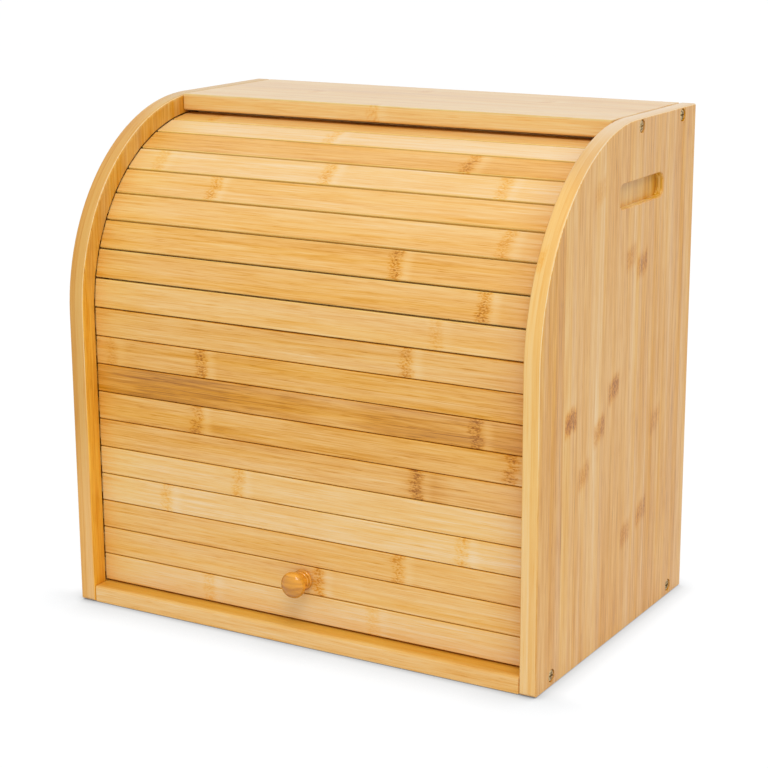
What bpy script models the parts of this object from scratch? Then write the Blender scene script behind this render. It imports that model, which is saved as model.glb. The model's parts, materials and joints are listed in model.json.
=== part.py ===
"""A roll-top bread box in bamboo: a case with a shelf, and a slatted door that runs in curved grooves.

Metres, +Z up, the front towards -Y. The origin is the centre of the underside, midway between the
side panels' front and rear edges.
"""

import math

import bmesh
import bpy
from mathutils import Matrix

# Case
WIDTH = 0.380
DEPTH = 0.252
HEIGHT = 0.368
BOARD = 0.0125
CURVE_RADIUS = 0.148
OUTER_ROUND = 0.0015
INNER_ROUND = 0.002
FOOT_ROUND = 0.003
EDGE_ROUND = 0.0008
TOP_BOARD_START = 0.131
TOP_BOARD_UPPER_ROUND = 0.001
TOP_BOARD_LOWER_ROUND = 0.002
SILL_UPPER_ROUND = 0.0025
BOTTOM_BOARD_SETBACK = 0.001

# Back panel, held in a dado in each side panel
BACK_THICKNESS = 0.004
BACK_DADO = 0.004
BACK_INSET = 0.003

# Gaps between touching faces, and how far a cutter runs past the face that it cuts
FIT = 0.0003
OVERRUN = 0.002

# Door: wooden slats on a canvas backing, with a thin tongue at each end that runs in a groove
SLAT_THICKNESS = 0.005
SLAT_PITCH = 0.0210
SLAT_GAP = 0.0006
SLAT_ROUND = 0.0008
SLAT_END_GAP = 0.0004
TONGUE_THICKNESS = 0.0024
TONGUE_HEIGHT = 0.010
TONGUE_REACH = 0.005
DOOR_SETBACK = 0.0147
DOOR_REST = 0.0014
DOOR_COVER = 0.015
DOOR_TRAVEL = 0.100
GROOVE_WIDTH = 0.0070
GROOVE_DEPTH = 0.006
GROOVE_REAR_WEB = 0.0027
CLOTH_THICKNESS = 0.0005
CLOTH_SIDE_MARGIN = 0.008
CLOTH_END_MARGIN = 0.002
CLOTH_HOLE_GAP = 0.0006

# Handle pocket routed into the outside of each side panel
POCKET_LENGTH = 0.075
POCKET_HEIGHT = 0.0174
POCKET_DEPTH = 0.006
POCKET_RADIUS = 0.006
POCKET_RIM = 0.0006
POCKET_FROM_REAR = 0.095
POCKET_BELOW_TOP = 0.0505

# Shelf on two cleats
SHELF_THICKNESS = 0.009
SHELF_TOP = 0.184
SHELF_PLAY = 0.0008
SHELF_FRONT_CLEARANCE = 0.0075
SHELF_REAR_CLEARANCE = 0.004
SHELF_ROUND = 0.002
CLEAT_WIDTH = 0.012
CLEAT_HEIGHT = 0.012
CLEAT_LENGTH = 0.180
CLEAT_SCREW_INSET = 0.025

# Knob, turned, measured out from the face of the slat that carries it
KNOB_SLAT = 2
KNOB_DIAMETER = 0.0192
KNOB_LENGTH = 0.0192
KNOB_BALL_LENGTH = 0.0118
KNOB_NECK_DIAMETER = 0.0110
KNOB_BASE_DIAMETER = 0.0156
KNOB_BASE_BEAD = 0.0028
KNOB_COLLAR_DIAMETER = 0.0140
KNOB_COLLAR_BEAD = 0.0024
KNOB_BORE_DEPTH = 0.013

# Screws: head diameter, head height, shank diameter, length under the head, cross recess
CASE_SCREW = {"head": 0.0084, "height": 0.0022, "shank": 0.0040, "length": 0.030}
KNOB_SCREW = {"head": 0.0070, "height": 0.0020, "shank": 0.0036, "length": 0.0165}
CLEAT_SCREW = {"head": 0.0070, "height": 0.0020, "shank": 0.0034, "length": 0.0180}
CASE_SCREW_SINK = 0.0003
CASE_SCREW_FROM_REAR = 0.025
CASE_SCREW_FROM_FRONT = 0.025
CASE_SCREW_ABOVE_FLOOR = 0.0075
CASE_SCREW_BELOW_TOP = 0.0058
TOP_SCREW_BEHIND_FRONT = 0.0234
COUNTERBORE_GAP = 0.0005
HOLE_GAP = 0.0003
HOLE_END_GAP = 0.0005
CROSS_WIDTH = 0.0011
CROSS_DEPTH = 0.0011
CROSS_SPAN_SHARE = 0.62
SCREW_DOME_SHARE = 0.18
SCREW_POINT_SHARE = 0.12

# How finely round shapes are faceted
PANEL_CURVE_STEPS = 30
TRACK_STEPS = 30
POCKET_CORNER_STEPS = 4
RIM_CORNER_STEPS = 5
KNOB_STEPS = 28
BALL_STEPS = 14
BEAD_STEPS = 5
SCREW_STEPS = 16
HOLE_STEPS = 18
ROUND_SEGMENTS = 3
SMOOTH_ANGLE = math.radians(40)
SHARP_ANGLE = math.radians(60)
FLAT_ANGLE = math.radians(0.5)
WELD = 0.000001

BAMBOO_SIDE = ((0.72, 0.48, 0.25), 0.50, 0.0)
BAMBOO_BOARD = ((0.80, 0.52, 0.21), 0.48, 0.0)
BAMBOO_TOP = ((0.79, 0.60, 0.42), 0.50, 0.0)
BAMBOO_SLAT = ((0.84, 0.53, 0.20), 0.46, 0.0)
BAMBOO_DARK_SLAT = ((0.66, 0.35, 0.11), 0.46, 0.0)
BAMBOO_PALE_SLAT = ((0.88, 0.68, 0.40), 0.46, 0.0)
BAMBOO_INSIDE = ((0.70, 0.50, 0.27), 0.60, 0.0)
VARNISHED_WOOD = ((0.62, 0.29, 0.08), 0.25, 0.0)
DARK_BRASS = ((0.35, 0.25, 0.11), 0.38, 1.0)
CANVAS = ((0.68, 0.62, 0.50), 0.90, 0.0)
DARK_SLATS = {8}
PALE_SLATS = {18}

# Places that follow from the sizes above
FRONT_Y = -DEPTH / 2
REAR_Y = DEPTH / 2
INSIDE_X = WIDTH / 2 - BOARD
CURVE_Y = FRONT_Y + CURVE_RADIUS
CURVE_Z = HEIGHT - CURVE_RADIUS
TOP_FRONT_Y = FRONT_Y + TOP_BOARD_START
BACK_Y = REAR_Y - BACK_INSET - BACK_THICKNESS
FRONT_MID_RADIUS = CURVE_RADIUS - DOOR_SETBACK - SLAT_THICKNESS / 2
REAR_MID_Y = BACK_Y - FIT - GROOVE_REAR_WEB - GROOVE_WIDTH / 2
REAR_MID_RADIUS = REAR_MID_Y - CURVE_Y
REAR_CURVE_Z = CURVE_Z + FRONT_MID_RADIUS - REAR_MID_RADIUS
FRONT_ARC_LENGTH = (FRONT_MID_RADIUS - SLAT_THICKNESS / 2) * math.pi / 2
REAR_ARC_LENGTH = (REAR_MID_RADIUS - SLAT_THICKNESS / 2) * math.pi / 2
DOOR_BOTTOM = BOARD + DOOR_REST
SLAT_HEIGHT = SLAT_PITCH - SLAT_GAP
CLEAT_TOP = SHELF_TOP - SHELF_THICKNESS - FIT
TOP_SCREW_Z = HEIGHT - CASE_SCREW_BELOW_TOP

ALONG_X = Matrix(((0, 0, 1, 0), (1, 0, 0, 0), (0, 1, 0, 0), (0, 0, 0, 1)))


def clear_scene():
    for obj in list(bpy.data.objects):
        bpy.data.objects.remove(obj, do_unlink=True)


def new_collection(name):
    collection = bpy.data.collections.new(name)
    bpy.context.scene.collection.children.link(collection)
    return collection


def principled(name, look):
    colour, roughness, metallic = look
    material = bpy.data.materials.new(name)
    material.use_nodes = True
    shader = material.node_tree.nodes["Principled BSDF"]
    shader.inputs["Base Color"].default_value = (*colour, 1)
    shader.inputs["Roughness"].default_value = roughness
    shader.inputs["Metallic"].default_value = metallic
    material.diffuse_color = (*colour, 1)
    return material


def add(name, mesh, collection=None, look=None):
    obj = bpy.data.objects.new(name, mesh)
    (collection or PIECES).objects.link(obj)
    if look:
        obj.data.materials.clear()
        obj.data.materials.append(principled(name, look))
    return obj


def as_cutter(obj):
    for collection in list(obj.users_collection):
        collection.objects.unlink(obj)
    CUTTERS.objects.link(obj)
    obj.hide_render = True
    obj.display_type = "WIRE"
    return obj


def cut(obj, *cutters):
    for cutter in cutters:
        modifier = obj.modifiers.new("cut", "BOOLEAN")
        modifier.operation = "DIFFERENCE"
        modifier.object = as_cutter(cutter)


def evaluated_mesh(obj):
    bpy.context.view_layer.update()
    graph = bpy.context.evaluated_depsgraph_get()
    return bpy.data.meshes.new_from_object(obj.evaluated_get(graph))


def baked(obj):
    """The object's evaluated mesh, with the object itself removed."""
    mesh = evaluated_mesh(obj)
    bpy.data.objects.remove(obj, do_unlink=True)
    return mesh


def smooth(mesh):
    mesh.shade_smooth()
    mesh.set_sharp_from_angle(angle=SMOOTH_ANGLE)
    return mesh


def round_edges(obj, radius_of_edge):
    """Rounds each sharp edge by the radius that radius_of_edge gives for its two end points.

    The thin triangles of a flat face are joined first, because they would limit the radius.
    """
    bm = bmesh.new()
    bm.from_mesh(obj.data)
    bmesh.ops.dissolve_limit(bm, angle_limit=FLAT_ANGLE, verts=bm.verts, edges=bm.edges)
    weights = bm.edges.layers.float.new("bevel_weight_edge")
    radii = {}
    for edge in bm.edges:
        if len(edge.link_faces) == 2 and edge.calc_face_angle() > SHARP_ANGLE:
            radii[edge] = radius_of_edge(*(v.co for v in edge.verts))
    widest = max(radii.values())
    for edge, radius in radii.items():
        edge[weights] = radius / widest
    bm.to_mesh(obj.data)
    bm.free()
    bevel = obj.modifiers.new("round", "BEVEL")
    bevel.limit_method = "WEIGHT"
    bevel.width = widest
    bevel.segments = ROUND_SEGMENTS


def prism(name, outline, thickness, x, flare=0):
    """A solid with its outline in the YZ plane, thickness wide along X and centred at x.

    With a flare it is wider by that much all round, and narrows to its outline past both ends.
    """
    curve = bpy.data.curves.new(name, "CURVE")
    curve.dimensions = "2D"
    curve.fill_mode = "BOTH"
    curve.extrude = thickness / 2
    curve.bevel_depth = flare
    curve.bevel_resolution = 0
    spline = curve.splines.new("POLY")
    spline.points.add(len(outline) - 1)
    for point, (y, z) in zip(spline.points, outline):
        point.co = (y, z, 0, 1)
    spline.use_cyclic_u = True
    guide = add(name + "_guide", curve, CUTTERS)
    mesh = baked(guide)
    bm = bmesh.new()
    bm.from_mesh(mesh)
    bmesh.ops.remove_doubles(bm, verts=bm.verts, dist=WELD)
    bmesh.ops.recalc_face_normals(bm, faces=bm.faces)
    bm.to_mesh(mesh)
    bm.free()
    obj = add(name, mesh)
    obj.matrix_world = Matrix.Translation((x, 0, 0)) @ ALONG_X
    return obj


def block(name, low, high):
    """A box between two corners, with its origin at its centre."""
    size = [b - a for a, b in zip(low, high)]
    mesh = bpy.data.meshes.new(name)
    bm = bmesh.new()
    bmesh.ops.create_cube(bm, size=1, matrix=Matrix.Diagonal((*size, 1)))
    bm.to_mesh(mesh)
    bm.free()
    obj = add(name, mesh)
    obj.location = [(a + b) / 2 for a, b in zip(low, high)]
    return obj


def board(name, low, high, upper_round, lower_round, other_round):
    """A box with its own radii for the front face's upper and lower edge, and one for all other edges."""
    obj = block(name, low, high)
    front = -(high[1] - low[1]) / 2

    def radius(a, b):
        if max(a.y, b.y) > front + WELD or a.z * b.z < 0:
            return other_round
        return upper_round if a.z > 0 else lower_round

    round_edges(obj, radius)
    return obj


def cylinder(name, diameter, start, end):
    """A cylinder between two points that differ along X or along Y."""
    mesh = bpy.data.meshes.new(name)
    along = [b - a for a, b in zip(start, end)]
    length = max(abs(value) for value in along)
    axis = "X" if abs(along[0]) == length else "Y"
    turn = Matrix.Rotation(math.pi / 2, 4, "Y" if axis == "X" else "X")
    bm = bmesh.new()
    bmesh.ops.create_cone(bm, cap_ends=True, segments=HOLE_STEPS, radius1=diameter / 2,
                          radius2=diameter / 2, depth=length, matrix=turn)
    bm.to_mesh(mesh)
    bm.free()
    obj = add(name, mesh)
    obj.location = [(a + b) / 2 for a, b in zip(start, end)]
    return obj


def turned(name, profile, steps):
    """A mesh turned about Z from a profile of (radius, height) points that runs from the top down."""
    mesh = bpy.data.meshes.new(name)
    points = [(radius, 0, height) for radius, height in profile]
    mesh.from_pydata(points, [(i, i + 1) for i in range(len(points) - 1)], [])
    obj = add(name, mesh)
    screw = obj.modifiers.new("turn", "SCREW")
    screw.steps = steps
    screw.render_steps = steps
    screw.use_merge_vertices = True
    screw.merge_threshold = WELD
    return obj


def arc(centre, radius, start, end, steps):
    """Points from the angle start to the angle end. At 0 a point lies towards the first axis."""
    angles = [math.radians(start + (end - start) * i / steps) for i in range(steps + 1)]
    return [(centre[0] + radius * math.cos(a), centre[1] + radius * math.sin(a)) for a in angles]


def rounded_rectangle(low, high, radius, steps):
    """A rectangle's outline, anticlockwise, with round corners of so many steps each."""
    corners = (
        ((high[0] - radius, low[1] + radius), 270),
        ((high[0] - radius, high[1] - radius), 0),
        ((low[0] + radius, high[1] - radius), 90),
        ((low[0] + radius, low[1] + radius), 180),
    )
    return [p for centre, start in corners for p in arc(centre, radius, start, start + 90, steps)]


def door_pose(s):
    """(y, z, turn) of the slats' middle plane at s, the way along the canvas from the floor.

    The turn is 0 on the front straight.
    """
    if s <= CURVE_Z:
        return FRONT_Y + DOOR_SETBACK + SLAT_THICKNESS / 2, s, 0.0
    turn = (s - CURVE_Z) / FRONT_ARC_LENGTH * math.pi / 2
    if turn <= math.pi / 2:
        return (CURVE_Y - FRONT_MID_RADIUS * math.cos(turn),
                CURVE_Z + FRONT_MID_RADIUS * math.sin(turn), turn)
    past = s - CURVE_Z - FRONT_ARC_LENGTH
    turn = math.pi / 2 * (1 + past / REAR_ARC_LENGTH)
    if turn <= math.pi:
        return (CURVE_Y - REAR_MID_RADIUS * math.cos(turn),
                REAR_CURVE_Z + REAR_MID_RADIUS * math.sin(turn), turn)
    return REAR_MID_Y, REAR_CURVE_Z - (past - REAR_ARC_LENGTH), math.pi


def beside_track(s, out):
    """A point at the distance out from the slats' middle plane, away from the inside of the box."""
    y, z, turn = door_pose(s)
    return y - out * math.cos(turn), z + out * math.sin(turn)


def track_outline(start, end, out_low, out_high):
    """A closed band along the door's track between two distances from the slats' middle plane."""
    arcs = [CURVE_Z + FRONT_ARC_LENGTH * i / TRACK_STEPS for i in range(TRACK_STEPS + 1)]
    arcs += [arcs[-1] + REAR_ARC_LENGTH * (i + 1) / TRACK_STEPS for i in range(TRACK_STEPS)]
    stations = [start] + [s for s in arcs if start < s < end] + [end]
    near = [beside_track(s, out_low) for s in stations]
    far = [beside_track(s, out_high) for s in stations]
    return near + far[::-1]


def slat_centre(number):
    """The centre of a slat along the canvas, counted from 1 at the bottom."""
    return DOOR_BOTTOM + SLAT_HEIGHT / 2 + SLAT_PITCH * (number - 1)


def slat_count():
    """Enough slats for the closed door to end DOOR_COVER behind the top board's front edge."""
    turn = math.acos((CURVE_Y - TOP_FRONT_Y) / FRONT_MID_RADIUS)
    edge = CURVE_Z + FRONT_ARC_LENGTH * turn / (math.pi / 2)
    return math.ceil((edge + DOOR_COVER - DOOR_BOTTOM) / SLAT_PITCH)


def slat_pivot(number):
    """(y, z) of the axis that turns a slat from its closed place to its place in the raised door.

    It is None for a slat that stays on the front straight and only slides.
    """
    centre = slat_centre(number)
    y0, z0, turn0 = door_pose(centre)
    y1, z1, turn1 = door_pose(centre + DOOR_TRAVEL)
    turn = turn1 - turn0
    if turn < WELD:
        return None
    half = 1 / (2 * math.tan(turn / 2))
    return (y0 + y1) / 2 + (z1 - z0) * half, (z0 + z1) / 2 - (y1 - y0) * half


def panel_outline():
    """A side panel seen from its side: square at the rear and the foot, with the big curve at the top front."""
    front = arc((CURVE_Y, CURVE_Z), CURVE_RADIUS, 180, 90, PANEL_CURVE_STEPS)
    return [(FRONT_Y, 0)] + front + [(REAR_Y, HEIGHT), (REAR_Y, 0)]


def case_screw_places():
    """Name, y and z of the four screws through each side panel."""
    rear = REAR_Y - CASE_SCREW_FROM_REAR
    return (
        ("top_front", TOP_FRONT_Y + TOP_SCREW_BEHIND_FRONT, TOP_SCREW_Z),
        ("top_rear", rear, TOP_SCREW_Z),
        ("bottom_front", FRONT_Y + CASE_SCREW_FROM_FRONT, CASE_SCREW_ABOVE_FLOOR),
        ("bottom_rear", rear, CASE_SCREW_ABOVE_FLOOR),
    )


def cleat_middle_y():
    return (shelf_edges()[0] + shelf_edges()[1]) / 2


def cleat_screw_places():
    """Name and y of the two screws through each cleat."""
    reach = CLEAT_LENGTH / 2 - CLEAT_SCREW_INSET
    return (("front", cleat_middle_y() - reach), ("rear", cleat_middle_y() + reach))


def shelf_edges():
    """The y of the shelf's front and rear edges, clear of the door's track at both ends."""
    front = FRONT_Y + DOOR_SETBACK + SLAT_THICKNESS + SHELF_FRONT_CLEARANCE
    rear = REAR_MID_Y - SLAT_THICKNESS / 2 - SHELF_REAR_CLEARANCE
    return front, rear


def screw_mesh(name, size):
    """A cross-head screw along Z, with its domed head's top at z = 0 and its shank below."""
    head, shank = size["head"] / 2, size["shank"] / 2
    under_head = -size["height"]
    tip = under_head - size["length"]
    dome = size["height"] * SCREW_DOME_SHARE
    profile = [
        (0, 0),
        (head / 2, -dome / 4),
        (head - dome, -dome),
        (head, -2 * dome),
        (head, under_head),
        (shank, under_head),
        (shank, tip + size["length"] * SCREW_POINT_SHARE),
        (0, tip),
    ]
    screw = turned(name, profile, SCREW_STEPS)
    span = size["head"] * CROSS_SPAN_SHARE / 2
    for turn in (0, math.pi / 2):
        arm = block(name + "_cross", (-span, -CROSS_WIDTH / 2, -CROSS_DEPTH),
                    (span, CROSS_WIDTH / 2, CROSS_DEPTH))
        arm.rotation_euler.z = turn
        cut(screw, arm)
    return smooth(baked(screw))


def place_screw(name, mesh, head_top, outward, look=DARK_BRASS):
    """Sets a screw with its head's top at a point and its axis along outward, one of +X, -X or +Y."""
    turns = {"+X": Matrix.Rotation(math.pi / 2, 4, "Y"), "-X": Matrix.Rotation(-math.pi / 2, 4, "Y"),
             "+Y": Matrix.Rotation(-math.pi / 2, 4, "X")}
    obj = add(name, mesh)
    obj.matrix_world = Matrix.Translation(head_top) @ turns[outward]
    if not mesh.materials:
        mesh.materials.append(principled(name, look))
    return obj


def side_panel(name, side):
    panel = prism(name, panel_outline(), BOARD, side * (WIDTH / 2 - BOARD / 2))

    def radius(a, b):
        at_foot = max(a.y, b.y) < WELD
        if a.z * b.z < 0:
            return FOOT_ROUND if at_foot and a.x < 0 else EDGE_ROUND
        if at_foot or min(a.x, b.x) > REAR_Y - WELD:
            return EDGE_ROUND
        return OUTER_ROUND if a.z * side > 0 else INNER_ROUND

    round_edges(panel, radius)
    panel.data.materials.append(principled(name, BAMBOO_SIDE))
    cut(panel, *groove_and_dado(side), *case_screw_holes(side), *cleat_screw_holes(side), *pocket(side))
    return panel


def groove_and_dado(side):
    """The door's groove and the back panel's dado, cut into a side panel's inner face."""
    end = CURVE_Z + FRONT_ARC_LENGTH + REAR_ARC_LENGTH + REAR_CURVE_Z - BOARD
    outline = track_outline(BOARD, end, -GROOVE_WIDTH / 2, GROOVE_WIDTH / 2)
    depth = GROOVE_DEPTH + OVERRUN
    groove = prism("groove", outline, depth, side * (INSIDE_X - OVERRUN + depth / 2))
    dado_depth = BACK_DADO + OVERRUN
    dado_outline = [(BACK_Y - FIT, BOARD), (BACK_Y + BACK_THICKNESS + FIT, BOARD),
                    (BACK_Y + BACK_THICKNESS + FIT, HEIGHT - BOARD), (BACK_Y - FIT, HEIGHT - BOARD)]
    dado = prism("dado", dado_outline, dado_depth, side * (INSIDE_X - OVERRUN + dado_depth / 2))
    return groove, dado


def pocket(side):
    """The cutters of the finger pocket and its bevelled rim, in the outer face of a side panel.

    Their corners have different steps, so that no edge of one runs through an edge of the other.
    """
    high = (REAR_Y - POCKET_FROM_REAR + POCKET_LENGTH / 2, HEIGHT - POCKET_BELOW_TOP + POCKET_HEIGHT / 2)
    low = (high[0] - POCKET_LENGTH, high[1] - POCKET_HEIGHT)
    depth = POCKET_DEPTH + OVERRUN
    x = side * (WIDTH / 2 + OVERRUN - depth / 2)
    outline = rounded_rectangle(low, high, POCKET_RADIUS, POCKET_CORNER_STEPS)
    hollow = prism("pocket", outline, depth, x)
    inset = rounded_rectangle([v + POCKET_RIM for v in low], [v - POCKET_RIM for v in high],
                              POCKET_RADIUS - POCKET_RIM, RIM_CORNER_STEPS)
    x = side * (WIDTH / 2 + OVERRUN + POCKET_RIM)
    rim = prism("pocket_rim", inset, 2 * OVERRUN, x, flare=3 * POCKET_RIM)
    return hollow, rim


def case_screw_holes(side):
    """A counterbore and a clearance hole for each screw through a side panel."""
    face = side * WIDTH / 2
    seat = side * (WIDTH / 2 - CASE_SCREW_SINK - CASE_SCREW["height"] - FIT)
    past = side * (INSIDE_X - OVERRUN)
    bore = CASE_SCREW["head"] + 2 * COUNTERBORE_GAP
    hole = CASE_SCREW["shank"] + 2 * HOLE_GAP
    cutters = []
    for _, y, z in case_screw_places():
        cutters.append(cylinder("counterbore", bore, (face + side * OVERRUN, y, z), (seat, y, z)))
        cutters.append(cylinder("screw_hole", hole, (face, y, z), (past, y, z)))
    return cutters


def board_end_holes(z_wanted):
    """The holes in a board's two ends for the case screws at the height z_wanted."""
    tip = WIDTH / 2 - CASE_SCREW_SINK - CASE_SCREW["height"] - CASE_SCREW["length"] - HOLE_END_GAP
    hole = CASE_SCREW["shank"] + 2 * HOLE_GAP
    return [
        cylinder("end_hole", hole, (side * (INSIDE_X + OVERRUN), y, z), (side * tip, y, z))
        for side in (-1, 1)
        for _, y, z in case_screw_places()
        if z == z_wanted
    ]


def cleat_screw_holes(side):
    """The blind holes in a side panel's inner face for the cleat's screws."""
    tip = INSIDE_X - FIT - CLEAT_WIDTH - FIT + CLEAT_SCREW["length"] + HOLE_END_GAP
    hole = CLEAT_SCREW["shank"] + 2 * HOLE_GAP
    z = CLEAT_TOP - CLEAT_HEIGHT / 2
    return [
        cylinder("cleat_hole", hole, (side * (INSIDE_X - OVERRUN), y, z), (side * tip, y, z))
        for _, y in cleat_screw_places()
    ]


def coloured(obj, look):
    obj.data.materials.append(principled(obj.name, look))
    return obj


def top_board():
    obj = board("top_board", (-INSIDE_X + FIT, TOP_FRONT_Y, HEIGHT - BOARD), (INSIDE_X - FIT, REAR_Y, HEIGHT),
                TOP_BOARD_UPPER_ROUND, TOP_BOARD_LOWER_ROUND, EDGE_ROUND)
    cut(obj, *board_end_holes(TOP_SCREW_Z))
    return coloured(obj, BAMBOO_TOP)


def bottom_board():
    obj = board("bottom_board", (-INSIDE_X + FIT, FRONT_Y + BOTTOM_BOARD_SETBACK, 0),
                (INSIDE_X - FIT, REAR_Y, BOARD), SILL_UPPER_ROUND, EDGE_ROUND, EDGE_ROUND)
    cut(obj, *board_end_holes(CASE_SCREW_ABOVE_FLOOR))
    return coloured(obj, BAMBOO_BOARD)


def back_panel():
    reach = INSIDE_X + BACK_DADO - FIT
    obj = block("back_panel", (-reach, BACK_Y, BOARD + FIT),
                (reach, BACK_Y + BACK_THICKNESS, HEIGHT - BOARD - FIT))
    return coloured(obj, BAMBOO_INSIDE)


def shelf():
    front, rear = shelf_edges()
    reach = INSIDE_X - SHELF_PLAY
    obj = board("shelf", (-reach, front, SHELF_TOP - SHELF_THICKNESS), (reach, rear, SHELF_TOP),
                SHELF_ROUND, SHELF_ROUND, EDGE_ROUND)
    return coloured(obj, BAMBOO_INSIDE)


def cleat(name, side):
    outer, inner = side * (INSIDE_X - FIT), side * (INSIDE_X - FIT - CLEAT_WIDTH)
    y = cleat_middle_y()
    low = (min(outer, inner), y - CLEAT_LENGTH / 2, CLEAT_TOP - CLEAT_HEIGHT)
    high = (max(outer, inner), y + CLEAT_LENGTH / 2, CLEAT_TOP)
    obj = board(name, low, high, EDGE_ROUND, EDGE_ROUND, EDGE_ROUND)
    hole = CLEAT_SCREW["shank"] + 2 * HOLE_GAP
    z = (low[2] + high[2]) / 2
    for _, hole_y in cleat_screw_places():
        cut(obj, cylinder("cleat_bore", hole, (low[0] - OVERRUN, hole_y, z), (high[0] + OVERRUN, hole_y, z)))
    return coloured(obj, BAMBOO_INSIDE)


def case_screws():
    mesh = screw_mesh("case_screw", CASE_SCREW)
    x = WIDTH / 2 - CASE_SCREW_SINK
    for side_name, side, outward in (("left", -1, "-X"), ("right", 1, "+X")):
        for place, y, z in case_screw_places():
            place_screw(f"case_screw_{side_name}_{place}", mesh, (side * x, y, z), outward)


def cleat_screws():
    mesh = screw_mesh("cleat_screw", CLEAT_SCREW)
    x = INSIDE_X - FIT - CLEAT_WIDTH - FIT - CLEAT_SCREW["height"]
    z = CLEAT_TOP - CLEAT_HEIGHT / 2
    for side_name, side, outward in (("left", -1, "+X"), ("right", 1, "-X")):
        for place, y in cleat_screw_places():
            place_screw(f"cleat_screw_{side_name}_{place}", mesh, (side * x, y, z), outward)


def slat_mesh():
    """A slat with its centre at the origin, its face towards -Y, and a tongue at each end."""
    half = (INSIDE_X - SLAT_END_GAP, SLAT_THICKNESS / 2, SLAT_HEIGHT / 2)
    slat = board("slat", [-h for h in half], half, SLAT_ROUND, SLAT_ROUND, 0)
    tongue_half = (INSIDE_X + TONGUE_REACH, TONGUE_THICKNESS / 2, TONGUE_HEIGHT / 2)
    tongue = as_cutter(block("slat_tongue", [-h for h in tongue_half], tongue_half))
    join = slat.modifiers.new("tongue", "BOOLEAN")
    join.operation = "UNION"
    join.object = tongue
    return baked(slat)


def slat_look(number):
    if number in DARK_SLATS:
        return BAMBOO_DARK_SLAT
    return BAMBOO_PALE_SLAT if number in PALE_SLATS else BAMBOO_SLAT


def slats():
    """The door's slats. One that turns hangs from an empty on its joint's axis."""
    shape = slat_mesh()
    for number in range(1, slat_count() + 1):
        name = f"slat_{number:02d}"
        slat = add(name, shape.copy(), look=slat_look(number))
        y, z, turn = door_pose(slat_centre(number))
        pivot = slat_pivot(number) or (y, z)
        empty = add(name + "_pivot", None)
        empty.location = (0, *pivot)
        slat.parent = empty
        slat.location = (0, y - pivot[0], z - pivot[1])
        slat.rotation_euler.x = -turn
        if number == KNOB_SLAT:
            hole = KNOB_SCREW["shank"] + 2 * HOLE_GAP
            reach = SLAT_THICKNESS / 2 + OVERRUN
            cut(slat, cylinder("knob_hole", hole, (0, y - reach, z), (0, y + reach, z)))


def backing_cloth():
    """The canvas behind the slats, glued to them in one piece, with a hole for the knob screw's head."""
    inner = -SLAT_THICKNESS / 2 - FIT
    end = slat_centre(slat_count()) + SLAT_HEIGHT / 2 - CLOTH_END_MARGIN
    outline = track_outline(DOOR_BOTTOM + CLOTH_END_MARGIN, end, inner - CLOTH_THICKNESS, inner)
    obj = prism("backing_cloth", outline, 2 * (INSIDE_X - CLOTH_SIDE_MARGIN), 0)
    y, z, _ = door_pose(slat_centre(KNOB_SLAT))
    hole = KNOB_SCREW["head"] + 2 * CLOTH_HOLE_GAP
    cut(obj, cylinder("cloth_hole", hole, (0, y, z), (0, y + SLAT_THICKNESS + OVERRUN, z)))
    return coloured(obj, CANVAS)


def knob_profile():
    """The knob's outline from its front end down to its base, then up the screw's bore."""
    ball_radius, ball_half = KNOB_DIAMETER / 2, KNOB_BALL_LENGTH / 2
    ball_height = KNOB_LENGTH - ball_half
    neck = KNOB_NECK_DIAMETER / 2
    last = math.degrees(math.asin(neck / ball_radius)) - 180
    ball = [
        (ball_radius * math.cos(a), ball_height + ball_half * math.sin(a))
        for a in (math.radians(90 + last * i / BALL_STEPS) for i in range(BALL_STEPS + 1))
    ]
    ball[0] = (0, KNOB_LENGTH)
    collar = bead(KNOB_COLLAR_DIAMETER, KNOB_COLLAR_BEAD, KNOB_BASE_BEAD + KNOB_COLLAR_BEAD / 2)
    base = bead(KNOB_BASE_DIAMETER, KNOB_BASE_BEAD, KNOB_BASE_BEAD / 2)
    bore = KNOB_SCREW["shank"] / 2 + HOLE_GAP
    return ball + collar + base + [(bore, 0), (bore, KNOB_BORE_DEPTH), (0, KNOB_BORE_DEPTH)]


def bead(diameter, thickness, height):
    """A half-round moulding from its top to its bottom, centred at a height."""
    radius = thickness / 2
    return arc((diameter / 2 - radius, height), radius, 90, -90, BEAD_STEPS)


def knob():
    mesh = smooth(baked(turned("knob", knob_profile(), KNOB_STEPS)))
    obj = add("knob", mesh, look=VARNISHED_WOOD)
    y, z, _ = door_pose(slat_centre(KNOB_SLAT))
    obj.matrix_world = (Matrix.Translation((0, y - SLAT_THICKNESS / 2 - FIT, z))
                        @ Matrix.Rotation(math.pi / 2, 4, "X"))


def knob_screw():
    mesh = screw_mesh("knob_screw", KNOB_SCREW)
    y, z, _ = door_pose(slat_centre(KNOB_SLAT))
    head_top = (0, y + SLAT_THICKNESS / 2 + FIT + KNOB_SCREW["height"], z)
    place_screw("knob_screw", mesh, head_top, "+Y")


clear_scene()
PIECES = new_collection("roll_top_bread_box")
CUTTERS = new_collection("cutters")
side_panel("side_panel_left", -1)
side_panel("side_panel_right", 1)
top_board()
bottom_board()
back_panel()
shelf()
cleat("shelf_cleat_left", -1)
cleat("shelf_cleat_right", 1)
case_screws()
cleat_screws()
slats()
backing_cloth()
knob()
knob_screw()
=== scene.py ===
"""The looks of the roll-top bread box: bamboo, varnished knob, brass screws and canvas."""
import json
import math
from collections import namedtuple

import bmesh
import bpy
from mathutils import Matrix, Vector


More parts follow.
